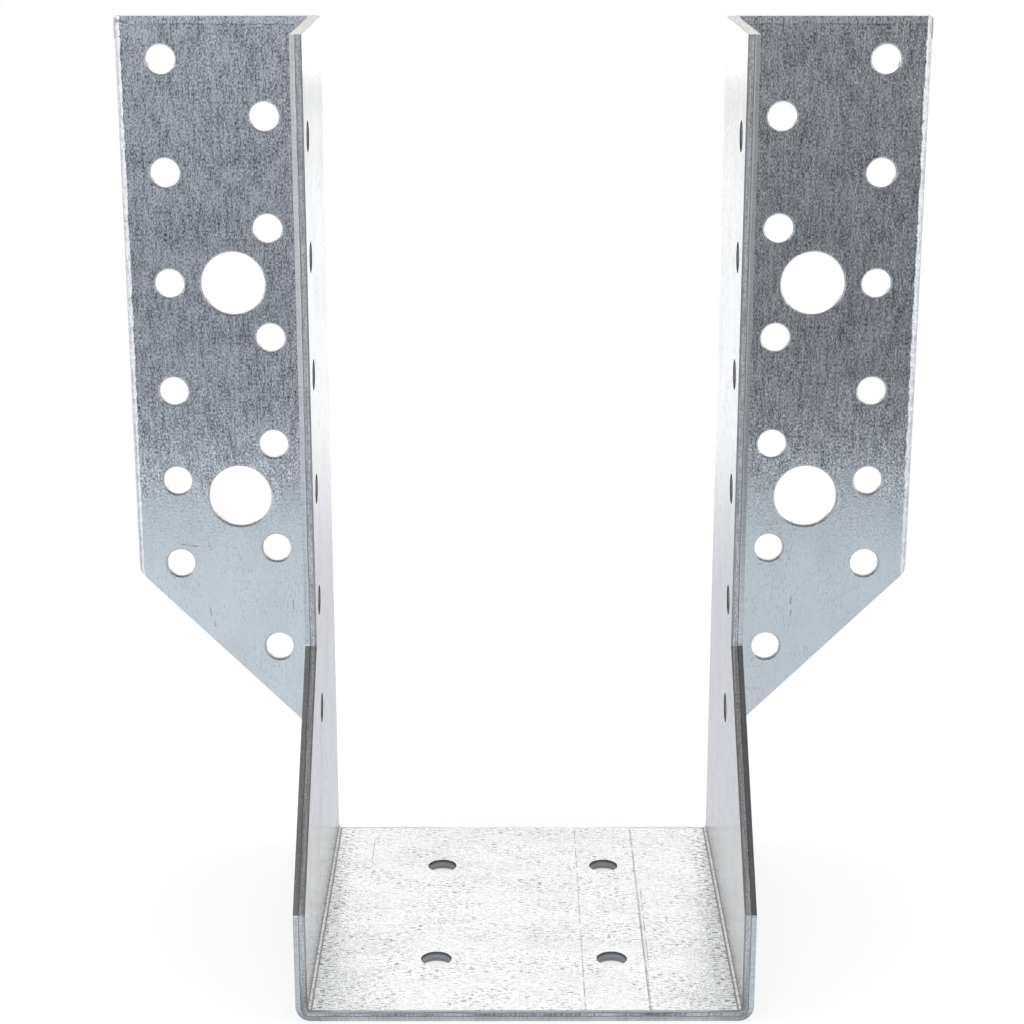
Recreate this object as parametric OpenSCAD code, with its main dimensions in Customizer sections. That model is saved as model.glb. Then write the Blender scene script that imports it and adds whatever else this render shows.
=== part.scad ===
// Beam hanger: one folded steel sheet that carries the end of a timber joist on the face of a header beam.
//
// The sheet is named the way it is folded. The seat lies under the joist, a cheek stands on each side
// of it, and a wing turns outwards from the back edge of each cheek and lies flat on the header.
// X runs across the joist, Y points from the joist to the header, and Z is up. The origin is on the level of
// the seat's underside, below the middle of the part. Positions along Y are written from the header plane,
// so they are negative, and the finished hanger is moved forward to its origin once, at the end.

/* [Sheet] */
// Thickness of the galvanised sheet
sheet_t = 2; // [1.5:0.1:2.5]
// Inside radius of every fold
bend_r = 0.6; // [0.4:0.1:2]
// Width of the rim that the punch draws in round each hole, on the outer face of the sheet
rim_w = 0.3; // [0.1:0.05:0.5]

/* [Pocket] */
// Clear width between the cheeks, one millimetre more than the joist
pocket_w = 71; // [56:1:120]
// Height from the underside of the seat to the top edge
height = 156; // [140:1:220]
// Depth of the seat, from the header plane to its front edge
seat_depth = 75; // [60:1:100]
// Depth of the cheeks above their slope, from the header plane
cheek_depth = 41; // [36:1:55]
// Height at which the slope of the cheeks reaches the front edge
cheek_foot = 19; // [12:1:30]
// Slope of the cheeks' front edge, from the horizontal
cheek_slope = 45; // [35:1:55]

/* [Wings] */
// Reach of each wing beyond the outer face of its cheek
wing_reach = 34.5; // [33:0.5:45]
// Height at which the slope of a wing meets the outer face of its cheek
wing_foot = 19.5; // [12:0.5:30]
// Slope of the wings' lower edge, from the horizontal
wing_slope = 45; // [35:1:55]
// Radius of the lower outer corner of a wing
wing_corner_r = 4; // [1:0.5:8]
// Radius of the upper outer corner of a wing
wing_tip_r = 0.8; // [0.4:0.1:2]
// Radius rolled on to the long outer edge of a wing, on its front
wing_roll_r = 0.9; // [0.3:0.1:1.2]

/* [Header holes] */
// Diameter of the nail holes, in the wings, the cheeks and the seat
nail_d = 5.2; // [4:0.1:6]
// Diameter of the bolt holes
bolt_d = 11.5; // [9:0.5:13]
// Distance between the holes of one column
row_pitch = 20; // [16:1:24]
// Distance of the outer column of nail holes from the wing's outer edge
outer_margin = 8; // [6:0.5:9]
// Distance of the inner column of nail holes from the cheek's outer face
inner_margin = 8.5; // [7:0.5:10]
// Distance of the bolt holes from the cheek's outer face
bolt_margin = 15; // [14:0.5:16]
// Distance of the highest nail holes below the top edge
top_margin = 7.5; // [6:0.5:12]
// Height of the lowest outer nail hole above the sloped edge below it
outer_rise = 9.5; // [8:0.5:14]
// Height of the lowest inner nail hole above the sloped edge below it
inner_rise = 11; // [8:0.5:14]
// Distance between the two lowest holes of the outer column
low_pitch = 16; // [12:1:20]
// The least distance from those low holes to the regular rows above them
least_pitch = 12; // [10:0.5:14]
// Number of bolt holes in each wing, from the top downwards
bolt_count = 2; // [1:1:2]

/* [Joist holes] */
// Distance of the nail holes in a cheek from its upper front edge
cheek_margin = 7; // [6:0.5:12]
// Distance of the highest nail hole in a cheek below the top edge
cheek_top = 17; // [10:1:24]
// No nail hole in a cheek is lower than this
cheek_low = 30; // [22:1:38]
// Distance between the nail holes of the seat, across the joist
seat_gap = 30; // [20:1:40]
// Distance of the back pair of seat holes from the header plane
seat_back = 20; // [14:1:26]
// Distance of the front pair of seat holes from the front edge
seat_front = 18; // [12:1:24]

/* [Hidden] */
$fn = 64;

// Cutters reach this far past the faces that they cut.
past = 1;
// Turn of every fold
fold_turn = 90;

// Faces of the right-hand cheek and wing, along X
inner_face = pocket_w / 2;
outer_face = inner_face + sheet_t;
wing_edge = outer_face + wing_reach;

// The flats start where the folds end.
fold_depth = sheet_t + bend_r;

// A bolt hole comes level with every second hole of the outer column, below the highest one.
rows_per_bolt = 2;

// Columns of holes in the right-hand wing, along X
outer_x = wing_edge - outer_margin;
inner_x = outer_face + inner_margin;
bolt_x = outer_face + bolt_margin;

// Height of the wing's sloped edge at x
function wing_slope_z(x) = wing_foot + (x - outer_face) * tan(wing_slope);

// Heights from top downwards, one pitch apart, that stay above stop
function rows_down(top, stop) = [for (z = top; z > stop; z = z - row_pitch) z];

// The outer and inner columns zigzag, half a pitch apart. The low holes follow the sloped edge instead.
outer_top = height - top_margin;
outer_low = wing_slope_z(outer_x) + outer_rise;
outer_rows = concat(rows_down(outer_top, outer_low + low_pitch + least_pitch),
                    [outer_low + low_pitch, outer_low]);
inner_top = outer_top - row_pitch / 2;
inner_low = wing_slope_z(inner_x) + inner_rise;
inner_rows = concat(rows_down(inner_top, inner_low + least_pitch), [inner_low]);
cheek_rows = rows_down(height - cheek_top, cheek_low);

// Repeats its children, mirrored, on the left-hand side.
module both_sides() {
    children();
    mirror([1, 0, 0]) children();
}

// A quarter turn of sheet about the Z axis, from the X axis to the Y axis, standing on the XY plane
module fold(length) {
    rotate_extrude(angle = fold_turn) translate([bend_r, 0]) square([sheet_t, length]);
}

// What a punch takes out. Z = 0 is the outer face of the sheet, where the punch goes in and draws the rim.
module punched_hole(d) {
    translate([0, 0, -past]) cylinder(d = d, h = sheet_t + 2 * past);
    cylinder(d1 = d + 2 * rim_w, d2 = d, h = rim_w);
}

// What is left over outside an arc of radius r that rounds off a corner between two points of tangency
module corner_waste(corner, from, centre, to, r) {
    difference() {
        polygon([corner, from, centre, to]);
        translate(centre) circle(r);
    }
}

// Side view of a cheek above its fold: Y to the right, Z up
module cheek_outline() {
    slope_top = cheek_foot + (seat_depth - cheek_depth) * tan(cheek_slope);
    polygon([
        [-fold_depth, fold_depth],
        [-fold_depth, height],
        [-cheek_depth, height],
        [-cheek_depth, slope_top],
        [-seat_depth, cheek_foot],
        [-seat_depth, fold_depth]
    ]);
}

// Front view of a wing with the fold that carries it: X to the right, Z up
module wing_outline() {
    corner = [wing_edge, wing_slope_z(wing_edge)];
    corner_rise = wing_corner_r * (1 - sin(wing_slope)) / cos(wing_slope);
    centre = corner + [-wing_corner_r, corner_rise];
    tip = [wing_edge, height];
    difference() {
        polygon([
            [inner_face, wing_slope_z(inner_face)],
            corner,
            tip,
            [inner_face, height]
        ]);
        corner_waste(
            corner,
            corner + [0, corner_rise],
            centre,
            centre + wing_corner_r * [sin(wing_slope), -cos(wing_slope)],
            wing_corner_r
        );
        corner_waste(
            tip,
            tip - [0, wing_tip_r],
            tip - [wing_tip_r, wing_tip_r],
            tip - [wing_tip_r, 0],
            wing_tip_r
        );
    }
}

// What rolling takes off the long outer edge of a wing, on its front
module wing_roll_waste() {
    edge = [wing_edge, -sheet_t];
    translate([0, 0, -past]) linear_extrude(height + 2 * past) corner_waste(
        edge,
        edge + [0, wing_roll_r],
        edge + [-wing_roll_r, wing_roll_r],
        edge + [-wing_roll_r, 0],
        wing_roll_r
    );
}

module seat() {
    flat_w = pocket_w - 2 * bend_r;
    translate([-flat_w / 2, -seat_depth, 0]) cube([flat_w, seat_depth - fold_depth, sheet_t]);
}

// The fold between the seat and the right-hand cheek runs along Y.
module seat_fold() {
    translate([inner_face - bend_r, -fold_depth, fold_depth])
        rotate([90, 0, 0])
            mirror([0, 1, 0])
                fold(seat_depth - fold_depth);
}

module cheek() {
    translate([inner_face, 0, 0])
        rotate([90, 0, 90])
            linear_extrude(sheet_t)
                cheek_outline();
}

// The right-hand wing and its fold, cut from a full-height strip by the wing's outline
module wing() {
    flat_x = outer_face + bend_r;
    intersection() {
        union() {
            translate([flat_x, -fold_depth, 0]) rotate([0, 0, fold_turn]) fold(height);
            difference() {
                translate([flat_x, -sheet_t, 0]) cube([wing_edge - flat_x, sheet_t, height]);
                wing_roll_waste();
            }
        }
        translate([0, past, 0])
            rotate([90, 0, 0])
                linear_extrude(fold_depth + 2 * past)
                    wing_outline();
    }
}

// Punches a wing from its front at [x, z].
module wing_hole(x, z, d) {
    translate([x, -sheet_t, z]) rotate([-90, 0, 0]) punched_hole(d);
}

module wing_holes() {
    for (z = outer_rows) wing_hole(outer_x, z, nail_d);
    for (z = inner_rows) wing_hole(inner_x, z, nail_d);
    for (k = [1 : bolt_count]) wing_hole(bolt_x, outer_top - k * rows_per_bolt * row_pitch, bolt_d);
}

module cheek_holes() {
    for (z = cheek_rows)
        translate([outer_face, cheek_margin - cheek_depth, z])
            rotate([0, -90, 0])
                punched_hole(nail_d);
}

module seat_holes() {
    for (y = [-seat_back, seat_front - seat_depth])
        translate([seat_gap / 2, y, 0]) punched_hole(nail_d);
}

module hanger() {
    color([0.72, 0.76, 0.79])
        translate([0, seat_depth / 2, 0])
            difference() {
                union() {
                    seat();
                    both_sides() {
                        seat_fold();
                        cheek();
                        wing();
                    }
                }
                both_sides() {
                    wing_holes();
                    cheek_holes();
                    seat_holes();
                }
            }
}

hanger();
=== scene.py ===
# %% [markdown]
# The beam hanger: a lesson in sheet metal
#
# The object is one blank of galvanised steel, 2 mm thick, folded four times: a flat seat, a cheek on each
# side of it, and a wing that turns outwards behind each cheek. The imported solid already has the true
# outline, folds and punched holes. What is missing is what the eye reads as folded sheet: the zinc, the
# grain of rolling, the drawn and torn bands of every sheared edge, and the light that edges catch. One new
# mesh, a dressed copy of the solid, adds them and stands in for it.

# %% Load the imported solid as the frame
import math

import bmesh
import bpy
import numpy as np
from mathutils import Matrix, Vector


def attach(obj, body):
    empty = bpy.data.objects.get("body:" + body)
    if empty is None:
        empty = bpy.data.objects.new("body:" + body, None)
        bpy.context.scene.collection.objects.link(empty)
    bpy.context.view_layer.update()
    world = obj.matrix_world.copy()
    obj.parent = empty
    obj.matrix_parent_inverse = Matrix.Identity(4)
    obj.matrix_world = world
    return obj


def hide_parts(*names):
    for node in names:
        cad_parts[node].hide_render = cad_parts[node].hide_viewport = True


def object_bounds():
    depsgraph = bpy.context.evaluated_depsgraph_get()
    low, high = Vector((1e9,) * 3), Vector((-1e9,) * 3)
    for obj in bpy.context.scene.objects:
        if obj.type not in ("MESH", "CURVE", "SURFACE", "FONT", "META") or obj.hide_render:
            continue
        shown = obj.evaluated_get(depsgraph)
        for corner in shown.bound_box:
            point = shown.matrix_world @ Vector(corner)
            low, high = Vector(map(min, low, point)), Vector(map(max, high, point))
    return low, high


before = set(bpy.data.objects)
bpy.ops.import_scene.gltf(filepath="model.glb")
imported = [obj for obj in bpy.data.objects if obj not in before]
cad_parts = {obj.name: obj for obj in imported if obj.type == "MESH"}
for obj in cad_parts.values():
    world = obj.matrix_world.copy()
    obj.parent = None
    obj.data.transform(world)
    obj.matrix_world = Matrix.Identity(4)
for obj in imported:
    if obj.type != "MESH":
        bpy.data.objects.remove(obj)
CAD_LOW, CAD_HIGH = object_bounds()
print("solid box in mm:", [round(v * 1000, 2) for v in (*CAD_LOW, *CAD_HIGH)])

# %% [markdown]
# Sizes that the finish depends on
#
# The zinc's grain runs through the folds without a break, because the steel was rolled before it was
# folded. To lay a pattern that way, the script has to know where the folds are. These are the solid's own
# sizes, in metres.

# %% Sizes of the sheet
MM = 0.001
SHEET = 2 * MM
BEND = 0.6 * MM
HEADER_Y = CAD_HIGH.y
CHEEK_OUTER = 37.5 * MM
FOLD_FAR = BEND + SHEET
FOLD_MIDDLE = BEND + SHEET / 2
WING_FLAT_X = CHEEK_OUTER + BEND
SEAT_FLAT_X = CHEEK_OUTER - FOLD_FAR
print("folds end", round(FOLD_FAR / MM, 2), "mm from the outer faces of their flats")

# %% [markdown]
# The camera
#
# The photograph was taken a little above the part, from about 0.4 m, looking 16.4 degrees down into the
# pocket. A lens of 80.8 mm on a 36 mm frame gives the same narrowing from the front edge of the seat to the
# wings. These values come from a camera fitted to the sheet's corners and the holes' centres, because the
# eye alone doesn't tell a longer lens from a camera that stands further off.

# %% Camera
SENSOR = 36
PHOTO_SIDE = 1024
FOCAL_PIXELS = 2297.86
CAMERA_PLACE = Vector((-2.419 * MM, HEADER_Y - 412.52 * MM, 186.174 * MM))
CAMERA_PITCH = 0.2860
CAMERA_YAW = 0.0010


def new_object(name, data):
    """An object at the origin, linked to the scene."""
    thing = bpy.data.objects.new(name, data)
    bpy.context.scene.collection.objects.link(thing)
    return thing


def make_camera():
    data = bpy.data.cameras.new("camera")
    data.lens = FOCAL_PIXELS / PHOTO_SIDE * SENSOR
    data.sensor_width = SENSOR
    data.clip_start = 0.01
    data.clip_end = 50
    camera = new_object("camera", data)
    camera.location = CAMERA_PLACE
    camera.rotation_euler = (math.pi / 2 - CAMERA_PITCH, 0, -CAMERA_YAW)
    bpy.context.scene.camera = camera
    return camera


camera = make_camera()
print("camera stands", [round(v / MM) for v in camera.location], "mm from the origin")

# %% [markdown]
# Helpers for shaders
#
# A shader is a graph of nodes. These helpers keep the graphs short to read. The first adds a node and fills
# its sockets, where a socket given as another node's output is linked. The others each add one kind of
# node, and the last two start a node group with named sockets and place it in a material.

# %% Helpers that add nodes
def put(tree, kind, settings=None, **sockets):
    """Adds a node. A socket is named with _ for a space, and in0, in1 name an input by its number."""
    node = tree.nodes.new(kind)
    for name, value in (settings or {}).items():
        setattr(node, name, value)
    for name, value in sockets.items():
        key = int(name[2:]) if name[:2] == "in" and name[2:].isdigit() else name.replace("_", " ")
        socket = node.inputs[key]
        if isinstance(value, bpy.types.NodeSocket):
            tree.links.new(value, socket)
        else:
            socket.default_value = value
    return node


def maths(tree, operation, *values, clamp=False):
    """Adds a Math node and gives back its output."""
    filled = {f"in{i}": v for i, v in enumerate(values)}
    settings = {"operation": operation, "use_clamp": clamp}
    return put(tree, "ShaderNodeMath", settings, **filled).outputs[0]


def vector_maths(tree, operation, *values, **sockets):
    """The same for vectors. A length or a dot product is a number, and comes from another output."""
    filled = {f"in{i}": v for i, v in enumerate(values)}
    node = put(tree, "ShaderNodeVectorMath", {"operation": operation}, **filled, **sockets)
    return node.outputs["Value" if operation in ("DOT_PRODUCT", "LENGTH") else "Vector"]


def scaled(tree, vector, factor):
    """A vector or a colour, times one number."""
    return vector_maths(tree, "SCALE", vector, Scale=factor)


def axes_of(tree, vector):
    """The three numbers of a vector, as outputs named X, Y and Z."""
    return put(tree, "ShaderNodeSeparateXYZ", Vector=vector).outputs


def ramp(tree, value, low, high, to_low=0.0, to_high=1.0, smooth=True):
    """Maps low..high to to_low..to_high, held at both ends."""
    kind = "SMOOTHSTEP" if smooth else "LINEAR"
    node = put(tree, "ShaderNodeMapRange", {"interpolation_type": kind},
               Value=value, From_Min=low, From_Max=high, To_Min=to_low, To_Max=to_high)
    return node.outputs["Result"]


def weighed(tree, *parts):
    """The sum of numbers, each times its weight. Each part is (number, weight)."""
    total = 0.0
    for value, weight in parts:
        total = maths(tree, "MULTIPLY_ADD", value, weight, total)
    return total


def gap(tree, a, b):
    """How far two numbers are apart."""
    return maths(tree, "ABSOLUTE", maths(tree, "SUBTRACT", a, b))


def between(tree, value, low, high):
    """1 where the value lies between the two limits, and 0 elsewhere."""
    above = maths(tree, "GREATER_THAN", value, low)
    return maths(tree, "MULTIPLY", above, maths(tree, "LESS_THAN", value, high))


def mix(tree, factor, a, b):
    """Mixes two colours. The node has inputs for every kind of data, and its colours are inputs 6 and 7."""
    return put(tree, "ShaderNodeMix", {"data_type": "RGBA"}, in0=factor, in6=a, in7=b).outputs[2]


def mix_value(tree, factor, a, b):
    """Mixes two numbers, which are inputs 2 and 3."""
    return put(tree, "ShaderNodeMix", {"data_type": "FLOAT"}, in0=factor, in2=a, in3=b).outputs[0]


def noise(tree, vector, pace, detail=2.0, roughness=0.5):
    """Noise over a vector that is first stretched: a small pace draws the pattern out along that axis."""
    drawn = vector_maths(tree, "MULTIPLY", vector, pace)
    node = put(tree, "ShaderNodeTexNoise", Vector=drawn, Scale=1.0, Detail=detail, Roughness=roughness)
    return node.outputs["Fac"]


print("one-node helpers:", [f.__name__ for f in (maths, vector_maths, ramp, mix, mix_value, noise)])

# %% Helpers for groups and materials
def new_group(name, inputs, outputs):
    """Starts a shader node group. inputs are (name, kind, default), and outputs are the names of numbers."""
    tree = bpy.data.node_groups.new(name, "ShaderNodeTree")
    for label, kind, default in inputs:
        socket = tree.interface.new_socket(label, in_out="INPUT", socket_type=kind)
        if default is not None:
            socket.default_value = default
    for label in outputs:
        tree.interface.new_socket(label, in_out="OUTPUT", socket_type="NodeSocketFloat")
    return tree, tree.nodes.new("NodeGroupInput").outputs, tree.nodes.new("NodeGroupOutput").inputs


def use_group(tree, group, **sockets):
    return put(tree, "ShaderNodeGroup", {"node_tree": group}, **sockets).outputs


def new_material(name):
    """A material and its graph, which is still empty."""
    material = bpy.data.materials.new(name)
    material.use_nodes = True
    material.node_tree.nodes.clear()
    return material, material.node_tree


print("helpers for whole graphs:", [f.__name__ for f in (new_group, use_group, new_material)])

# %% [markdown]
# Floor and world
#
# Bare metal has no colour of its own to show: it shows the room. The room here is a light table, white
# behind the part and under it. A white floor could be had by adding light until it clips, but then the part
# would clip too. Here the floor and the world glow only for rays that come from the camera, from a
# reflection or through glass, and they light the part at a plain level. The floor still catches the part's
# shadow.

# %% Floor
WHITE = (1, 1, 1, 1)
FLOOR_SIDE = 8.0
FLOOR_WHITE = (0.50, 0.50, 0.50, 1)
FLOOR_GLOW = 0.60


def seen_directly(tree):
    """1 for a ray that shows the surface, and 0 for one that only gathers light."""
    path = put(tree, "ShaderNodeLightPath").outputs
    seen = maths(tree, "ADD", path["Is Camera Ray"], path["Is Glossy Ray"])
    return maths(tree, "ADD", seen, path["Is Transmission Ray"], clamp=True)


def mesh_object(name, bm):
    """Turns a bmesh into an object of the scene."""
    mesh = bpy.data.meshes.new(name)
    bm.to_mesh(mesh)
    bm.free()
    return new_object(name, mesh)


def make_floor():
    bm = bmesh.new()
    bmesh.ops.create_grid(bm, x_segments=1, y_segments=1, size=FLOOR_SIDE / 2)
    floor = mesh_object("floor", bm)
    material, tree = new_material("pale_floor")
    strength = maths(tree, "MULTIPLY", seen_directly(tree), FLOOR_GLOW)
    glow = put(tree, "ShaderNodeEmission", Color=WHITE, Strength=strength)
    matt = put(tree, "ShaderNodeBsdfDiffuse", Color=FLOOR_WHITE)
    both = put(tree, "ShaderNodeAddShader", in0=glow.outputs[0], in1=matt.outputs[0])
    put(tree, "ShaderNodeOutputMaterial", Surface=both.outputs[0])
    floor.data.materials.append(material)


make_floor()
print("floor of", FLOOR_SIDE, "m")

# %% World
WORLD_FILL = 0.80


def make_world():
    world = bpy.data.worlds.new("white_room")
    bpy.context.scene.world = world
    world.use_nodes = True
    tree = world.node_tree
    tree.nodes.clear()
    strength = ramp(tree, seen_directly(tree), 0, 1, WORLD_FILL, 1.0, smooth=False)
    glow = put(tree, "ShaderNodeBackground", Color=WHITE, Strength=strength)
    put(tree, "ShaderNodeOutputWorld", Surface=glow.outputs[0])


make_world()
print("world fill", WORLD_FILL)

# %% [markdown]
# Lamps
#
# The photograph's light is soft and comes from above and from behind, a little warm on the seat. Area lamps
# give that. Their strength is written as the brightness of their face, because that is what metal shows of
# a lamp.

# %% Soft boxes
def soft_box(name, place, target, width, depth, radiance, colour):
    """An area lamp whose face has the given radiance."""
    data = bpy.data.lights.new(name, "AREA")
    data.shape = "RECTANGLE"
    data.size = width
    data.size_y = depth
    data.color = colour
    data.energy = radiance * math.pi * width * depth
    lamp = new_object(name, data)
    lamp.location = place
    lamp.rotation_euler = (Vector(target) - lamp.location).to_track_quat("-Z", "Y").to_euler()


soft_box("box_over", (0, -0.10, 1.10), (0, 0, 0), 1.2, 1.2, 0.35, (1, 1, 1))
soft_box("box_behind", (0, 1.10, 0.45), (0, 0, 0.06), 1.8, 0.9, 0.60, (1.0, 0.92, 0.85))
soft_box("box_left", (-1.0, -0.55, 0.55), (0, 0, 0.08), 0.7, 0.7, 0.20, (1, 1, 1))

# %% [markdown]
# Cards
#
# In a white room, bare metal is white on white. A photographer puts up cards where the metal sees them, and
# so does this scene. Only reflections show them, so that they neither light the part nor stand in the
# picture. The card in front lies on the table and then rises. Low on the wings metal shows its pale part,
# and higher up its blue grey one, darker to the right. A dark strip of it, close before the seat, is for
# the seat's front edge and the feet of the cheeks. The card behind gives the cheeks their tone, the one
# overhead darkens the sloped edges, and the last one stands upright far behind, where only the top edges
# see it.

# %% Cards that only metal sees
CARD_PALE = (0.900, 0.960, 1.020)
CARD_LEFT = (0.372, 0.396, 0.440, 1)
CARD_RIGHT = (0.255, 0.264, 0.278, 1)
CARD_FOOT = (0.240, 0.240, 0.250, 1)
CARD_BEHIND = (0.840, 0.840, 0.880, 1)
CARD_BRIGHT = (1.250, 1.250, 1.250, 1)
CARD_OVERHEAD = (0.170, 0.170, 0.170, 1)
CARD_BACK_HIGH = (0.150, 0.150, 0.155, 1)
CREASE = 0.247
CREASE_HALF = 0.020
LEFT_TO_RIGHT = 0.120
PALE_SHARE = (0.975, 0.875)
RISE_FROM, RISE_TO, RISE_LIFT = 0.060, 0.125, 1.28
STRIP_FAR, STRIP_NEAR, STRIP_HALF = 12.0 * MM, 1.5 * MM, 40.0 * MM
BRIGHT_FROM, BRIGHT_TO = 0.140, 0.340


def make_card(name, side, line, paint):
    """line is the section, as places (y, z) from the header. paint is a colour, or adds one to a graph."""
    bm = bmesh.new()
    row = [bm.verts.new((-side, HEADER_Y + y, z)) for y, z in line]
    edges = [bm.edges.new(pair) for pair in zip(row, row[1:])]
    wide = bmesh.ops.extrude_edge_only(bm, edges=edges)["geom"]
    far = [v for v in wide if isinstance(v, bmesh.types.BMVert)]
    bmesh.ops.translate(bm, vec=(2 * side, 0, 0), verts=far)
    card = mesh_object(name, bm)
    for ray in ("camera", "diffuse", "transmission", "volume_scatter", "shadow"):
        setattr(card, f"visible_{ray}", False)
    material, tree = new_material(name)
    if callable(paint):
        paint = paint(tree, axes_of(tree, put(tree, "ShaderNodeTexCoord").outputs["Object"]))
    glow = put(tree, "ShaderNodeEmission", Color=paint, Strength=1.0)
    put(tree, "ShaderNodeOutputMaterial", Surface=glow.outputs[0])
    card.data.materials.append(material)


def paint_front(tree, place):
    """Pale on the table, blue grey where it rises, and dark in the strip before the seat."""
    grey = mix(tree, ramp(tree, place["X"], -LEFT_TO_RIGHT, LEFT_TO_RIGHT), CARD_LEFT, CARD_RIGHT)
    grey = scaled(tree, grey, ramp(tree, place["Z"], RISE_FROM, RISE_TO, 1.0, RISE_LIFT))
    pale = scaled(tree, CARD_PALE, ramp(tree, place["X"], -LEFT_TO_RIGHT, LEFT_TO_RIGHT, *PALE_SHARE))
    crease_y = HEADER_Y - CREASE
    on_table = ramp(tree, place["Y"], crease_y - CREASE_HALF, crease_y + CREASE_HALF)
    strip = maths(tree, "MULTIPLY", between(tree, place["Y"], CAD_LOW.y - STRIP_FAR, CAD_LOW.y - STRIP_NEAR),
                  between(tree, place["X"], -STRIP_HALF, STRIP_HALF))
    return mix(tree, strip, mix(tree, on_table, grey, pale), CARD_FOOT)


def paint_behind(tree, place):
    """Grey close behind the part, bright further off."""
    further = ramp(tree, place["Y"], HEADER_Y + BRIGHT_FROM, HEADER_Y + BRIGHT_TO)
    return mix(tree, further, CARD_BEHIND, CARD_BRIGHT)


make_card("card_in_front", 0.50, ((-0.030, 0.0004), (-CREASE, 0.0005), (-0.780, 0.330)), paint_front)
make_card("card_behind", 0.60, ((-0.0024, 0.0004), (0.900, 0.0005)), paint_behind)
make_card("card_overhead", 1.60, ((-0.900, 0.900), (0.250, 0.900)), CARD_OVERHEAD)
make_card("card_back_high", 0.40, ((0.900, 0.120), (0.900, 0.250)), CARD_BACK_HIGH)

# %% [markdown]
# Where a point lies in the sheet
#
# Two questions come up for every point of the folded sheet: where was it in the flat blank, and how deep
# does it lie between the two faces? Both have a short answer, because a fold is a quarter of a round. Along
# a fold, the blank's length is the angle times the radius at the middle of the sheet. The depth is the
# distance from the fold's axis, and on a flat the same sum holds with the part of the distance that runs
# along it left out.

# %% Unfold the sheet
def unfold(points):
    """The place in the flat blank of points of the folded sheet: (along the roll, across it, depth 0..1).

    Depth is 0 on the outer face, where the punch went in, and 1 on the face that is inside the pocket."""
    x = np.abs(points[:, 0])
    y = points[:, 1] - HEADER_Y
    z = points[:, 2]
    quarter = FOLD_MIDDLE * math.pi / 2
    # Along the roll: over the seat, round its fold, and up the cheek.
    turn = np.arctan2(x - SEAT_FLAT_X, FOLD_FAR - z)
    in_seat_fold = (x > SEAT_FLAT_X) & (z < FOLD_FAR) & (y <= -FOLD_FAR)
    up = SEAT_FLAT_X + quarter + (z - FOLD_FAR)
    along = np.where(in_seat_fold, SEAT_FLAT_X + FOLD_MIDDLE * turn, up)
    along = np.where((x <= SEAT_FLAT_X) & (z < FOLD_FAR), x, along)
    # Across it: along the cheek, round its fold, and out over the wing.
    wing_turn = np.arctan2(y + FOLD_FAR, WING_FLAT_X - x)
    in_wing_fold = (x < WING_FLAT_X) & (y > -FOLD_FAR)
    across = np.where(in_wing_fold, -FOLD_FAR + FOLD_MIDDLE * wing_turn, y)
    across = np.where(x >= WING_FLAT_X, -FOLD_FAR + quarter + (x - WING_FLAT_X), across)
    # Depth, from the outer face inwards
    from_seat_fold = np.hypot(np.maximum(x - SEAT_FLAT_X, 0), np.maximum(FOLD_FAR - z, 0))
    from_wing_fold = np.hypot(np.maximum(WING_FLAT_X - x, 0), np.maximum(y + FOLD_FAR, 0))
    depth = np.where(y > -FOLD_FAR, from_wing_fold - BEND, FOLD_FAR - from_seat_fold) / SHEET
    return np.stack([along * np.sign(points[:, 0]), across, depth], axis=1)


def depths(points):
    return unfold(points)[:, 2]


def depth_at(point):
    return float(depths(np.array([point]))[0])


print("depth under the seat and on it:", round(depth_at((0, 0, 0)), 3), round(depth_at((0, 0, SHEET)), 3))

# %% [markdown]
# The folded sheet
#
# The solid has the right form, so the visible sheet starts as a copy of it. The copy's loose triangles are
# welded, and each flat is dissolved into as few faces as it can have, so that the edges left are the real
# ones.

# %% Weld the copy and dissolve its flats
WELD = 1e-7
FLAT_ANGLE = math.radians(0.2)

sheet_bm = bmesh.new()
sheet_bm.from_mesh(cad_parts["hanger"].data)
bmesh.ops.remove_doubles(sheet_bm, verts=sheet_bm.verts, dist=WELD)
bmesh.ops.dissolve_limit(sheet_bm, angle_limit=FLAT_ANGLE, verts=sheet_bm.verts, edges=sheet_bm.edges)
print("welded sheet:", len(sheet_bm.verts), "corners and", len(sheet_bm.faces), "faces")

# %% [markdown]
# Broken edges
#
# No cut edge is a perfect corner. A shear draws the outer face down a little before it cuts, and leaves the
# other edge sharp with a small burr. A Bevel modifier would treat both alike, so the edges are picked by
# their depth in the sheet and bevelled here: a rounder bevel outside and a fine one inside. The edges of
# the holes' drawn rims are less steep, and stay as they are. Edges that still turn sharply are marked, so
# that cut faces are shaded with their own normals.

# %% Break the edges
EDGE_ANGLE = math.radians(25)
STEEP_ANGLE = math.radians(60)
SHARP_ANGLE = math.radians(35)
FACE_DEPTH = 0.02
ROLLED_EDGE = 0.16 * MM
BURR_EDGE = 0.05 * MM


def cut_edges(bm, angle, wanted):
    """Edges that turn by more than the angle, and whose ends lie at a depth that wanted accepts."""
    return [e for e in bm.edges if e.is_manifold and e.calc_face_angle() > angle
            and all(wanted(depth_at(v.co)) for v in e.verts)]


def bevel(bm, edges, width, segments):
    bmesh.ops.bevel(bm, geom=edges, offset=width, offset_type="OFFSET", segments=segments, profile=0.5,
                    affect="EDGES", material=-1, clamp_overlap=True)


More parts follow.
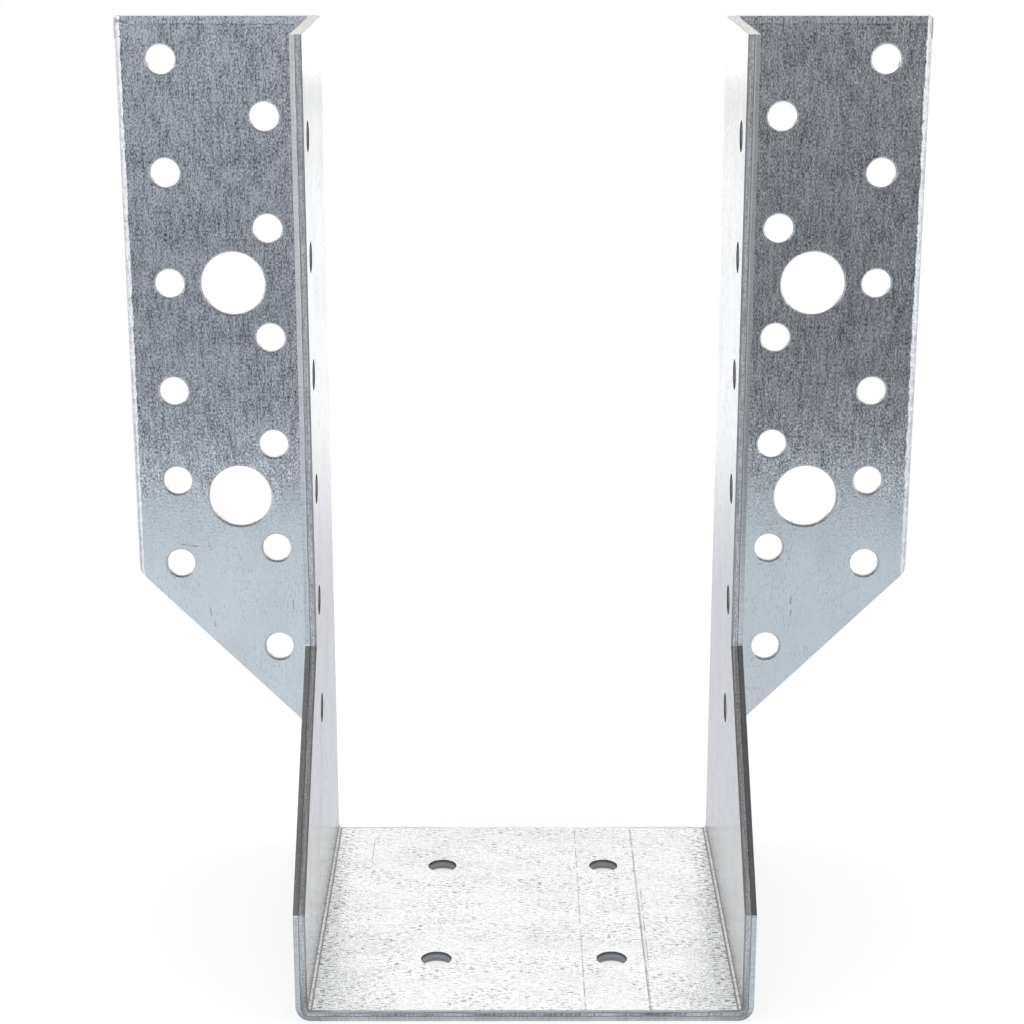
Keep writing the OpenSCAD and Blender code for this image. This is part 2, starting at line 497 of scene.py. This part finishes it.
inner_edges = cut_edges(sheet_bm, EDGE_ANGLE, lambda depth: depth > 1 - FACE_DEPTH)
print("sharp inner edges:", len(inner_edges))
bevel(sheet_bm, inner_edges, BURR_EDGE, 1)
outer_edges = cut_edges(sheet_bm, STEEP_ANGLE, lambda depth: depth < FACE_DEPTH)
print("rolled outer edges:", len(outer_edges))
bevel(sheet_bm, outer_edges, ROLLED_EDGE, 3)
for edge in sheet_bm.edges:
    edge.smooth = edge.calc_face_angle(0) < SHARP_ANGLE
print("edges shaded sharp:", sum(not e.smooth for e in sheet_bm.edges))
print("manifold:", all(e.is_manifold for e in sheet_bm.edges))

# %% [markdown]
# The place in the blank, kept on the mesh
#
# Rolling marks run one way through the whole blank, so the finish is laid out on the flat blank and not on
# the folded part. Each corner of the mesh keeps its place there in an attribute, in metres: along the roll,
# across it, and its depth in the sheet. The shaders read it, and the grain then turns with every fold, as
# it does in steel. A face counts as cut where it stands square to the two zinc faces, and gets the second
# material.

# %% Store the place in the blank and choose which faces are cut
CUT_COSINE = 0.75
CUT_DEPTH = 0.10
STEP = 0.02 * MM


def skin_direction(points):
    """The direction through the sheet at each point, which is square to its two zinc faces."""
    slopes = []
    for axis in range(3):
        ahead = points.copy()
        behind = points.copy()
        ahead[:, axis] += STEP
        behind[:, axis] -= STEP
        slopes.append(depths(ahead) - depths(behind))
    through = np.stack(slopes, axis=1)
    return through / np.maximum(np.linalg.norm(through, axis=1, keepdims=True), 1e-9)


for face in sheet_bm.faces:
    face.smooth = True
sheet = mesh_object("folded_sheet", sheet_bm)
sheet_mesh = sheet.data
corners = np.array([v.co for v in sheet_mesh.vertices], float)
blank = unfold(corners) * (1, 1, SHEET)
attribute = sheet_mesh.attributes.new("blank", "FLOAT_VECTOR", "POINT")
attribute.data.foreach_set("vector", blank.astype(np.float32).ravel())
centres = np.array([p.center for p in sheet_mesh.polygons], float)
facing = np.array([p.normal for p in sheet_mesh.polygons], float)
squareness = np.abs((skin_direction(centres) * facing).sum(axis=1))
is_cut = (squareness < CUT_COSINE) & (depths(centres) > CUT_DEPTH)
sheet_mesh.polygons.foreach_set("material_index", is_cut.astype(np.int32))
print("folded sheet:", len(sheet_mesh.polygons), "faces, of which", int(is_cut.sum()), "are cut")

# %% [markdown]
# Grain of rolled zinc
#
# Hot-dip zinc that has been through the rolls is a satin metal, close to even in colour. What makes it look
# like zinc is its grain: fine streaks along the roll, soft clouds, small dark dashes where the coating was
# pressed, and a mottle of speckles and flakes. Where the mottle shows is painted reflection, chosen later by
# height on the wings. It could be painted as an image, but noise that is drawn out along the roll never
# repeats and stays fine at any distance. It is one group, so that other finishes of the same sheet can use
# it.

# %% Group: grain of rolled zinc
# How many times a pattern changes in a millimetre: along the roll, across it, and from one face to the other
STREAK_PACE = (0.40, 2.4, 1.0)
GRAIN_PACE = (1.9, 3.0, 1.0)
CLOUD_PACE = (0.045, 0.09, 1.0)
PATCH_PACE = (0.10, 0.16, 1.0)
DASH_PACE = (0.85, 3.2, 1.0)
SPECKLE_PACE = (2.0, 3.6, 1.0)
DRAWN_PACE = (0.28, 1.3, 1.0)
FLAKE_PACE = (0.16, 0.22, 1.0)
DASHES_ANYWHERE = 0.18
WORN_DASHES = 0.045


def make_rolled_grain():
    inputs = [("Place", "NodeSocketVector", None), ("Worn", "NodeSocketFloat", 0.0)]
    tree, given, out = new_group("rolled_grain", inputs, ["Streaks", "Clouds", "Dashes", "Mottle", "Relief"])
    place = given["Place"]
    streaks = noise(tree, place, STREAK_PACE, detail=2.0, roughness=0.6)
    grains = noise(tree, place, GRAIN_PACE, detail=1.0, roughness=0.6)
    clouds = noise(tree, place, CLOUD_PACE, detail=3.0, roughness=0.55)
    # Dashes are the thin crests of a noise. They gather in patches, and all over where the sheet is worn.
    patches = ramp(tree, noise(tree, place, PATCH_PACE, detail=2.0), 0.42, 0.62)
    patches = maths(tree, "MAXIMUM", patches, given["Worn"])
    crests = noise(tree, place, DASH_PACE, detail=2.0, roughness=0.65)
    crests = maths(tree, "MULTIPLY_ADD", given["Worn"], WORN_DASHES, crests)
    crests = ramp(tree, crests, 0.59, 0.665)
    dashes = maths(tree, "MULTIPLY", crests, maths(tree, "ADD", DASHES_ANYWHERE, patches), clamp=True)
    speckle = ramp(tree, noise(tree, place, SPECKLE_PACE, detail=3.0, roughness=0.85), 0.38, 0.64)
    drawn = ramp(tree, noise(tree, place, DRAWN_PACE, detail=3.0, roughness=0.6), 0.32, 0.68)
    flakes = ramp(tree, noise(tree, place, FLAKE_PACE, detail=3.0, roughness=0.6), 0.34, 0.66)
    mottle = weighed(tree, (speckle, 0.64), (drawn, 0.24), (flakes, 0.12))
    relief = weighed(tree, (streaks, 0.60), (grains, 0.40), (dashes, -0.35))
    for name, value in (("Streaks", streaks), ("Clouds", clouds), ("Dashes", dashes), ("Mottle", mottle),
                        ("Relief", relief)):
        tree.links.new(value, out[name])
    return tree


rolled_grain = make_rolled_grain()
outputs = [item.name for item in rolled_grain.interface.items_tree if item.in_out == "OUTPUT"]
print("group", rolled_grain.name, "puts out", outputs)

# %% [markdown]
# Scratches
#
# A joist or another hanger slides over the seat from front to back and leaves long straight scratches, and
# the wings have a few short nicks. Each is a line between two places of the blank. The distance from a
# point to that line gives a thin mask, which noise breaks up so that it fades and comes back as a real
# scratch does. A mesh for each would be far thinner than a pixel, so this is done in the shader.

# %% Group: one scratch
GAP_PACE = (0.9, 0.30, 1.0)


def make_scratch():
    inputs = [("Place", "NodeSocketVector", None), ("From", "NodeSocketVector", None),
              ("To", "NodeSocketVector", None), ("Width", "NodeSocketFloat", 0.1),
              ("Broken", "NodeSocketFloat", 0.5)]
    tree, given, out = new_group("scratch", inputs, ["Mask"])
    reach = vector_maths(tree, "SUBTRACT", given["Place"], given["From"])
    run = vector_maths(tree, "SUBTRACT", given["To"], given["From"])
    share = maths(tree, "DIVIDE", vector_maths(tree, "DOT_PRODUCT", reach, run),
                  vector_maths(tree, "DOT_PRODUCT", run, run), clamp=True)
    nearest = scaled(tree, run, share)
    distance = vector_maths(tree, "LENGTH", vector_maths(tree, "SUBTRACT", reach, nearest))
    line = ramp(tree, maths(tree, "DIVIDE", distance, given["Width"]), 0.35, 1.0, 1.0, 0.0)
    gaps = maths(tree, "MULTIPLY_ADD", given["Broken"], -0.3, noise(tree, given["Place"], GAP_PACE))
    tree.links.new(maths(tree, "MULTIPLY", line, ramp(tree, gaps, 0.12, 0.52)), out["Mask"])
    return tree


scratch = make_scratch()
print("group", scratch.name)

# %% The scratches and nicks
QUARTER = FOLD_MIDDLE * math.pi / 2


def on_seat(x, y):
    """The place in the blank of a place on the seat, all in millimetres, with y measured from the header."""
    return (x, y, 1)


def on_cheek(side, y, z):
    """The same for the inner face of a cheek. side is -1 for the left one and 1 for the right one."""
    return (side * (SEAT_FLAT_X + QUARTER - FOLD_FAR) / MM + side * z, y, 1)


def on_wing(x, z):
    """The same for the front of a wing, which is the outer face of the sheet."""
    up = on_cheek(math.copysign(1, x), 0, z)[0]
    return (up, (QUARTER - FOLD_FAR - WING_FLAT_X) / MM + abs(x), 0)


# From, to and width, in millimetres, and how broken it is. Below nought it has no gaps.
SCRATCHES = (
    (on_seat(10.0, -4), on_seat(10.0, -75), 0.13, 0.55),
    (on_seat(20.7, -4), on_seat(20.7, -75), 0.24, 0.10),
    (on_seat(21.4, -26), on_seat(21.2, -60), 0.13, 0.55),
    (on_seat(-28.2, -8), on_seat(-28.2, -18.5), 0.12, 0.30),
    (on_cheek(1, -5, 128), on_cheek(1, -36, 112), 0.10, 0.35),
    (on_cheek(1, -6, 66), on_cheek(1, -38, 50), 0.10, 0.35),
    (on_cheek(-1, -12, 52), on_cheek(-1, -34, 40), 0.11, 0.30),
    (on_wing(-66.2, 57.2), on_wing(-66.0, 56.0), 0.16, 0.0),
    (on_wing(-58.9, 46.6), on_wing(-58.6, 45.2), 0.14, 0.0),
    (on_wing(-58.1, 44.0), on_wing(-58.0, 43.0), 0.13, 0.0),
    (on_wing(-43.2, 48.2), on_wing(-43.1, 46.6), 0.14, 0.0),
    (on_wing(50.5, 48.9), on_wing(50.4, 47.4), 0.15, 0.0),
    (on_wing(50.6, 46.2), on_wing(50.5, 45.2), 0.13, 0.0),
    (on_wing(39.5, 63.2), on_wing(39.4, 61.6), 0.14, 0.0),
    (on_wing(-63.6, 59.2), on_wing(-60.8, 58.8), 0.12, 0.2),
    (on_wing(-71.4, 155.2), on_wing(-69.6, 154.8), 0.45, -1.0),
)
print("scratches and nicks:", len(SCRATCHES))

# %% [markdown]
# Painted shade lines and painted edge highlights of the zinc
#
# Thin dark lines of painted shade lie where each seat fold begins and ends, and along the seat's back edge,
# strongest near the folds. The rounded long edges of the wings get a painted highlight, a lighter band on
# the outer face, and along their top edges a lighter lip of painted highlight with a darker line of painted
# shade below it. Each is a band at a known distance from an edge or a fold, measured in the blank. A slow
# noise makes its border waver, so that it looks uneven and not drawn with a ruler.

# %% Masks along folds and edges
HALF_FOLD = QUARTER / 2 / MM
FOLD_MIDDLE_AT = SEAT_FLAT_X / MM + HALF_FOLD
FOLD_END_AT = FOLD_MIDDLE_AT + HALF_FOLD
WING_EDGE = on_wing(CAD_HIGH.x / MM, 0)[1]
WING_TOP = on_wing(CAD_HIGH.x / MM, CAD_HIGH.z / MM)[0]
WAVER_PACE = (0.6, 0.6, 0.0)
WAVER = 0.8
# Width of the wings' rolled long edges, which carry a painted highlight and fall away in relief
EDGE_ROLL_AND_HIGHLIGHT = 1.15
LIP = 1.40
# Painted highlight on the top edge's lip, and painted shade in the line below it
LIP_HIGHLIGHT = 0.28
CREASE_SHADE = 0.45


def fold_shade_lines(tree, from_fold):
    """Painted shade: dark where each seat fold begins and ends, and a little between the two lines."""
    rise = ramp(tree, from_fold, HALF_FOLD - 0.85, HALF_FOLD - 0.30, 0.22, 1.0)
    return maths(tree, "MULTIPLY", rise, ramp(tree, from_fold, HALF_FOLD + 0.06, HALF_FOLD + 0.20, 1.0, 0.0))


def back_edge_shade(tree, along, across):
    """Painted shade: dark along the seat's back edge, plain near the folds and faint between them."""
    line = ramp(tree, maths(tree, "SUBTRACT", -FOLD_FAR / MM, across), 0.28, 0.42, 1.0, 0.0)
    line = maths(tree, "MULTIPLY", line, ramp(tree, along, 10.0, 26.0, 0.10, 0.75))
    return maths(tree, "MULTIPLY", line, ramp(tree, along, FOLD_END_AT - 0.4, FOLD_END_AT, 1.0, 0.0))


def wavering(tree, place):
    """A slow noise round nought, in millimetres, that moves a border to and fro."""
    return maths(tree, "MULTIPLY", maths(tree, "SUBTRACT", noise(tree, place, WAVER_PACE), 0.5), WAVER)


def top_band(tree, from_top, clouds):
    """How the top edge changes the tone: a painted highlight on its lip, and painted shade in the line below
    it where clouds lie.
    """
    lip = ramp(tree, from_top, LIP - 0.15, LIP, 1.0, 0.0)
    crease = ramp(tree, gap(tree, from_top, LIP), 0.05, 0.16, CREASE_SHADE, 0.0)
    crease = maths(tree, "MULTIPLY", crease, ramp(tree, clouds, 0.40, 0.62))
    return maths(tree, "SUBTRACT", maths(tree, "MULTIPLY", lip, LIP_HIGHLIGHT), crease)


print("seat folds run from", round(SEAT_FLAT_X / MM, 2), "to", round(FOLD_END_AT, 2), "mm of the blank")

# %% [markdown]
# The zinc
#
# One metal covers the whole skin of the sheet. Most of its grain is relief and roughness and not paint,
# because that is what changes with the light when the part is turned. Two kinds of grain are colour: the
# dark dashes of the inner face, which the photograph shows on the seat, and the mottle of the outer face,
# which it shows only on the upper part of the wings. The mottle is painted reflection as well as grain: it
# is strong high on the wings, where they reflect the dark card, and fades out below at a soft, uneven border.
# The colour also holds painted highlights and painted shade along the folds and edges.

# %% Wire a metal and read the blank
def bare_metal(tree, tone, rough, height):
    """A metal with its relief, wired to the output. Heights are in metres."""
    bump = put(tree, "ShaderNodeBump", Height=height, Distance=1.0, Strength=1.0).outputs["Normal"]
    metal = put(tree, "ShaderNodeBsdfPrincipled", Base_Color=tone, Metallic=1.0, Roughness=rough, Normal=bump)
    put(tree, "ShaderNodeOutputMaterial", Surface=metal.outputs[0])


def blank_place(tree, depth_scale):
    """The blank attribute in millimetres, with its depth in a scale of its own."""
    place = put(tree, "ShaderNodeAttribute", {"attribute_name": "blank"}).outputs["Vector"]
    return vector_maths(tree, "MULTIPLY", place, (1 / MM, 1 / MM, depth_scale))


print("helpers for the metals:", [f.__name__ for f in (bare_metal, blank_place)])

# %% Values of the zinc, and where it is mottled or scratched
ZINC_TONE = (0.640, 0.662, 0.682, 1)
ZINC_DULL = (0.250, 0.254, 0.258, 1)
MARK_TONE = (0.300, 0.305, 0.310, 1)
# Painted shade of the lines at the seat folds and along the seat's back edge
FOLD_SHADE_TONE = (0.230, 0.232, 0.235, 1)
# Painted highlight along the wings' rounded long edges
EDGE_HIGHLIGHT_TONE = (0.860, 0.880, 0.900, 1)
ZINC_ROUGHNESS = 0.16
GRAIN_RELIEF = 0.11 * MM
WORN_FALL = 0.62 * MM
FACES_APART = 20
# Where the mottle, which is painted reflection, fades in along the blank
MOTTLE_LOW = on_wing(50, 70)[0]
MOTTLE_FADE = 4
MOTTLE_LEAST = 0.07
MOTTLE_TONES = (0.06, 2.09)
BORDER_PACE = (0.10, 0.10, 0.0)
BORDER_SWING = 40.0
DASHES_OUTSIDE = 0.08
CLOUD_DULL = 0.12
MARK_STRENGTH = 0.72
MARK_RELIEF = 0.8


def painted_reflection_mottle(tree, place, along, outside):
    """1 where the outer face shows the mottle as painted reflection, fading out below an uneven border."""
    wisps = maths(tree, "SUBTRACT", noise(tree, place, BORDER_PACE, detail=4.0, roughness=0.6), 0.5)
    level = maths(tree, "MULTIPLY_ADD", wisps, BORDER_SWING, along)
    share = ramp(tree, level, MOTTLE_LOW - MOTTLE_FADE, MOTTLE_LOW + MOTTLE_FADE, MOTTLE_LEAST, 1.0)
    return maths(tree, "MULTIPLY", share, outside)


def all_scratches(tree, place):
    """The strongest mask of all the scratches."""
    marks = 0.0
    for start, end, width, broken in SCRATCHES:
        mask = use_group(tree, scratch, Place=place, From=start, To=end, Width=width, Broken=broken)["Mask"]
        marks = maths(tree, "MAXIMUM", marks, mask)
    return marks


print("mottle fades in round", round(MOTTLE_LOW), "mm along the blank")

# %% Material: zinc
def make_zinc():
    material, tree = new_material("rolled_zinc")
    place = blank_place(tree, 1 / SHEET)
    axes = axes_of(tree, place)
    along = maths(tree, "ABSOLUTE", axes["X"])
    inside = maths(tree, "GREATER_THAN", axes["Z"], 0.9)
    outside = maths(tree, "SUBTRACT", 1.0, inside)
    from_fold = gap(tree, along, FOLD_MIDDLE_AT)
    near_fold = ramp(tree, from_fold, 2.0, 6.0, 1.0, 0.0)
    # The two faces have different grain, because the depth is drawn out before the noise reads it.
    grain = use_group(tree, rolled_grain, Place=blank_place(tree, FACES_APART / MM), Worn=near_fold)
    marks = all_scratches(tree, place)
    waver = wavering(tree, place)
    from_edge = maths(tree, "SUBTRACT", maths(tree, "ADD", WING_EDGE, waver), axes["Y"])
    from_top = maths(tree, "SUBTRACT", maths(tree, "MULTIPLY_ADD", waver, 0.5, WING_TOP), along)
    # Painted highlight: a lighter band along the wings' rounded long edges, on the outer face
    edge_highlight = maths(tree, "MULTIPLY", ramp(tree, from_edge, EDGE_ROLL_AND_HIGHLIGHT - 0.12, EDGE_ROLL_AND_HIGHLIGHT, 1.0, 0.0), outside)
    dashes = maths(tree, "MULTIPLY", grain["Dashes"], mix_value(tree, inside, DASHES_OUTSIDE, 1.0))
    dull = maths(tree, "ADD", dashes, ramp(tree, grain["Clouds"], 0.40, 0.75, 0.0, CLOUD_DULL), clamp=True)
    # Colour
    shade = ramp(tree, grain["Relief"], 0.25, 0.70, 0.95, 1.04, smooth=False)
    mottle = ramp(tree, grain["Mottle"], 0.0, 1.0, *MOTTLE_TONES, smooth=False)
    # The mottle is painted reflection: full high on the wings and faint below
    mottle = mix_value(tree, painted_reflection_mottle(tree, place, along, outside), 1.0, mottle)
    # Painted highlight on the top edge's lip, and painted shade below it
    edge = maths(tree, "MULTIPLY_ADD", top_band(tree, from_top, grain["Clouds"]), outside, 1.0)
    shade = maths(tree, "MULTIPLY", maths(tree, "MULTIPLY", shade, mottle), edge)
    tone = scaled(tree, mix(tree, dull, ZINC_TONE, ZINC_DULL), shade)
    tone = mix(tree, edge_highlight, tone, EDGE_HIGHLIGHT_TONE)
    tone = mix(tree, maths(tree, "MULTIPLY", marks, MARK_STRENGTH), tone, MARK_TONE)
    # Painted shade lines at the seat folds and along the seat's back edge
    lines = maths(tree, "MAXIMUM", fold_shade_lines(tree, from_fold), back_edge_shade(tree, along, axes["Y"]))
    tone = mix(tree, maths(tree, "MULTIPLY", lines, inside), tone, FOLD_SHADE_TONE)
    # Roughness
    rough = weighed(tree, (grain["Streaks"], 0.10), (dull, 0.12))
    rough = maths(tree, "ADD", ZINC_ROUGHNESS - 0.05, rough)
    # Relief, which is half as deep on the outer face
    height = maths(tree, "MULTIPLY_ADD", marks, -MARK_RELIEF, grain["Relief"])
    height = maths(tree, "MULTIPLY", height, mix_value(tree, inside, 0.5 * GRAIN_RELIEF, GRAIN_RELIEF))
    fall = ramp(tree, from_edge, 0.0, EDGE_ROLL_AND_HIGHLIGHT, -WORN_FALL, 0.0, smooth=False)
    height = maths(tree, "MULTIPLY_ADD", fall, outside, height)
    bare_metal(tree, tone, rough, height)
    return material


sheet_mesh.materials.append(make_zinc())
print("skin:", sheet_mesh.materials[0].name, "with", len(sheet_mesh.materials[0].node_tree.nodes), "nodes")

# %% [markdown]
# Depth in the sheet, for the shader
#
# The bands of a cut edge lie at a depth in the sheet. The attribute has that depth too, but a mesh only
# keeps values at its corners, and a wide face has few of them, so the band would wander off. The shader
# therefore does the same sum as the function above, from the point itself.

# %% Group: depth in the sheet
def make_depth_group():
    tree, given, out = new_group("sheet_depth", [("Position", "NodeSocketVector", None)], ["Depth"])
    axes = axes_of(tree, given["Position"])
    x = maths(tree, "ABSOLUTE", axes["X"])
    y = maths(tree, "SUBTRACT", axes["Y"], HEADER_Y)

    def from_axis(side, rise):
        held = put(tree, "ShaderNodeCombineXYZ", X=maths(tree, "MAXIMUM", side, 0.0),
                   Y=maths(tree, "MAXIMUM", rise, 0.0)).outputs[0]
        return vector_maths(tree, "LENGTH", held)

    from_seat_fold = from_axis(maths(tree, "SUBTRACT", x, SEAT_FLAT_X),
                               maths(tree, "SUBTRACT", FOLD_FAR, axes["Z"]))
    from_wing_fold = from_axis(maths(tree, "SUBTRACT", WING_FLAT_X, x), maths(tree, "ADD", y, FOLD_FAR))
    in_pocket = maths(tree, "SUBTRACT", FOLD_FAR, from_seat_fold)
    in_wing = maths(tree, "SUBTRACT", from_wing_fold, BEND)
    depth = mix_value(tree, maths(tree, "GREATER_THAN", y, -FOLD_FAR), in_pocket, in_wing)
    tree.links.new(maths(tree, "DIVIDE", depth, SHEET), out["Depth"])
    return tree


sheet_depth = make_depth_group()
print("group", sheet_depth.name)

# %% [markdown]
# Sheared edges
#
# A cut edge has two bands. Where the tool went in, it drew the corner over, rubbed the steel smooth and
# smeared zinc down over it: a light band that leans outwards. Further in the steel tore: a rough band, with
# a dark line between the two and a burr at its end. The border wanders. Both bands lie at a depth in the
# sheet, so one graph puts them on every edge and in every hole. The lean is relief in the shader, because
# it is only a quarter of a millimetre. Masks by place then follow the photograph and paint in light and
# shade: painted shade on the rubbed band that differs by side and by height, a painted glint at its border,
# a painted lighter tone on the torn band at the sides, a painted highlight on the burr in the middle, the
# walls of the seat's and cheeks' holes in painted shadow, and the walls of the wings' holes smooth, with a
# light painted reflection.

# %% Masks by place
CHEEK_FOOT = 19 * MM
SLOPE_REACH = 0.4 * MM
SIDE_FROM, SIDE_TO = 30 * MM, 34 * MM
CHEEK_HOLES = (HEADER_Y - 39 * MM, HEADER_Y - 29 * MM)


def off_slope(tree, axes):
    """1 away from the cheeks' sloped edges, whose cut leans less than the others. It also sets where the
    rubbed band gets its painted glint and which painted shade it gets.
    """
    ahead = maths(tree, "SUBTRACT", axes["Y"], CAD_LOW.y)
    above = maths(tree, "SUBTRACT", axes["Z"], CHEEK_FOOT)
    return maths(tree, "GREATER_THAN", gap(tree, above, ahead), SLOPE_REACH)


def sides(tree, axes):
    """1 on the left and on the right of the seat, each as a mask of its own, for the painted light and shade
    of the cut bands.
    """
    left = ramp(tree, axes["X"], -SIDE_TO, -SIDE_FROM, 1.0, 0.0)
    return left, ramp(tree, axes["X"], SIDE_FROM, SIDE_TO)


def hole_walls(tree, axes):
    """Masks for the holes' walls in the seat, the cheeks and the wings: cut faces away from the edges."""
    below_top = maths(tree, "LESS_THAN", axes["Z"], CAD_HIGH.z - 2 * SHEET)
    in_seat = maths(tree, "MULTIPLY", maths(tree, "LESS_THAN", axes["Z"], SHEET),
                    between(tree, axes["Y"], CAD_LOW.y + SHEET, HEADER_Y - 2 * SHEET))
    in_cheek = maths(tree, "MULTIPLY", below_top, between(tree, axes["Y"], *CHEEK_HOLES))
    near_header = maths(tree, "GREATER_THAN", axes["Y"], HEADER_Y - 1.1 * SHEET)
    in_wing = maths(tree, "MULTIPLY", below_top, near_header)
    return in_seat, in_cheek, in_wing


print("sloped edges start at", round(CHEEK_FOOT / MM), "mm above the seat's underside")

# %% The two bands of a cut
SMEARED_ZINC = (0.850, 0.875, 0.905, 1)
RUBBED_STEEL = (0.680, 0.700, 0.725, 1)
TORN_STEEL = (0.240, 0.240, 0.245, 1)
# The torn band's darkest tone at the sides, painted lighter than in the middle
TORN_DARK = (0.400, 0.400, 0.405, 1)
TORN_LIGHT = (0.850, 0.850, 0.855, 1)
# The burr's painted highlight in the middle, and its grey at the sides
BURR_HIGHLIGHT = (0.960, 0.960, 0.965, 1)
BURR_GREY = (0.420, 0.420, 0.425, 1)
SEAT_SHADE = (0.360, 0.362, 0.368, 1)
CHEEK_SHADE = (0.400, 0.400, 0.405, 1)
HOLE_DARK = (0.150, 0.150, 0.155, 1)
# Painted reflection on the walls of the wings' holes
WING_HOLE_REFLECTION = (0.880, 0.890, 0.900, 1)
BAND_SHARE = 0.45
# Where the rubbed band's painted glint lies
GLINT_SHARE = BAND_SHARE - 0.09
BURR_SHARE = 0.86
WANDER = 0.16
WANDER_PACE = (0.5, 0.5, 0.0)
TICK_PACE = (4.5, 4.5, 0.4)
DRAG_PACE = (0.12, 0.12, 6.0)
PIT_PACE = (2.6, 2.6, 3.5)
# Painted shade of the rubbed band: left, right on its slope, and right low and high
RUBBED_LEFT_SHADE, RUBBED_RIGHT_SLOPE_SHADE = 0.68, 0.62
RUBBED_RIGHT_LOW_SHADE, RUBBED_RIGHT_HIGH_SHADE = 0.76, 0.38
SMOOTH_HOLE, RUBBED_ROUGH, TORN_ROUGH = 0.20, 0.24, 0.50
EDGE_RELIEF = 0.05 * MM
ROLLOVER = 1.30 * MM


def rubbed_band(tree, axes, border, ticks, drag, upright, left, right):
    """Light, with fine lines along it. Each side gets its own painted shade, and its border a painted glint.
    """
    tone = mix(tree, ramp(tree, maths(tree, "ADD", ticks, drag), 0.80, 1.20), RUBBED_STEEL, SMEARED_ZINC)
    # Painted shade, by side and by height on the right
    by_height = ramp(tree, axes["Z"], 0.050, 0.090, RUBBED_RIGHT_LOW_SHADE, RUBBED_RIGHT_HIGH_SHADE)
    on_right = mix_value(tree, upright, RUBBED_RIGHT_SLOPE_SHADE, by_height)
    on_left = mix_value(tree, upright, 1.0, RUBBED_LEFT_SHADE)
    side_shade = mix_value(tree, right, mix_value(tree, left, 1.0, on_left), on_right)
    # A painted glint along the band's border, away from the slopes
    glint = ramp(tree, gap(tree, border, GLINT_SHARE), 0.02, 0.05, 0.40, 0.0)
    return mix(tree, maths(tree, "MULTIPLY", glint, upright), scaled(tree, tone, side_shade), RUBBED_STEEL)


def torn_band(tree, border, pits, on_side):
    """Rough and grey, painted a little lighter at the sides, and ending in a burr with a painted highlight in
    the middle.
    """
    # Painted lighter tone at the sides
    darkest = mix(tree, on_side, TORN_STEEL, TORN_DARK)
    tone = mix(tree, ramp(tree, pits, 0.40, 0.60), darkest, TORN_LIGHT)
    # A painted highlight on the burr in the middle, grey at the sides
    burr = mix(tree, on_side, BURR_HIGHLIGHT, BURR_GREY)
    return mix(tree, ramp(tree, border, BURR_SHARE - 0.05, BURR_SHARE + 0.05), tone, burr)


print("the tool's own band is", round(BAND_SHARE * SHEET / MM, 2), "mm of the", round(SHEET / MM), "mm sheet")

# %% Material: sheared steel
def make_sheared():
    material, tree = new_material("sheared_edge")
    place = blank_place(tree, 1 / MM)
    position = put(tree, "ShaderNodeTexCoord").outputs["Object"]
    axes = axes_of(tree, position)
    upright = off_slope(tree, axes)
    left, right = sides(tree, axes)
    in_seat, in_cheek, in_wing = hole_walls(tree, axes)
    ticks = noise(tree, place, TICK_PACE, detail=2.0, roughness=0.6)
    drag = noise(tree, place, DRAG_PACE, detail=2.0, roughness=0.6)
    pits = weighed(tree, (noise(tree, place, PIT_PACE, detail=4.0, roughness=0.8), 0.6), (drag, 0.4))
    # The two bands and the dark line between them
    depth = use_group(tree, sheet_depth, Position=position)["Depth"]
    wander = maths(tree, "SUBTRACT", noise(tree, place, WANDER_PACE, detail=3.0), 0.5)
    border = maths(tree, "MULTIPLY_ADD", wander, WANDER, depth)
    torn = ramp(tree, border, BAND_SHARE - 0.03, BAND_SHARE + 0.03)
    tone = mix(tree, torn, rubbed_band(tree, axes, border, ticks, drag, upright, left, right),
               torn_band(tree, border, pits, maths(tree, "ADD", left, right)))
    tone = mix(tree, ramp(tree, gap(tree, border, BAND_SHARE), 0.02, 0.06, 0.80, 0.0), tone, TORN_STEEL)
    # The walls of the holes: painted shadow in the seat's and cheeks' holes, and a light painted reflection
    # in the wings' holes
    tone = mix(tree, in_seat, tone, mix(tree, ramp(tree, depth, 0.66, 0.84), SEAT_SHADE, HOLE_DARK))
    tone = mix(tree, in_cheek, tone, mix(tree, ramp(tree, depth, 0.90, 0.95), CHEEK_SHADE, HOLE_DARK))
    tone = mix(tree, in_wing, tone, WING_HOLE_REFLECTION)
    rough = ramp(tree, torn, 0, 1, RUBBED_ROUGH, TORN_ROUGH, smooth=False)
    rough = mix_value(tree, in_wing, rough, SMOOTH_HOLE)
    # Relief: fine marks, and the lean of the rubbed band
    fine = mix_value(tree, torn, maths(tree, "MULTIPLY", ticks, 0.4), pits)
    lean = maths(tree, "MULTIPLY", maths(tree, "MINIMUM", depth, BAND_SHARE), upright)
    bare_metal(tree, tone, rough, weighed(tree, (fine, EDGE_RELIEF), (lean, ROLLOVER)))
    return material


sheet_mesh.materials.append(make_sheared())
print("cut:", sheet_mesh.materials[1].name, "with", len(sheet_mesh.materials[1].node_tree.nodes), "nodes")

# %% [markdown]
# The sheet takes the solid's place
#
# The dressed sheet is the whole visible part, so it replaces the one solid and rides on the root. Weighted
# normals let each wide flat set the shading of the small bevels beside it.

# %% Dress the sheet
normals = sheet.modifiers.new("even_normals", "WEIGHTED_NORMAL")
normals.keep_sharp = True
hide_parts("hanger")
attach(sheet, "root")
print("finishes:", [m.name for m in sheet_mesh.materials])

# %% [markdown]
# Colour management
#
# The Standard view shows a colour as it is written.

# %% Colour management
bpy.context.scene.view_settings.view_transform = "Standard"
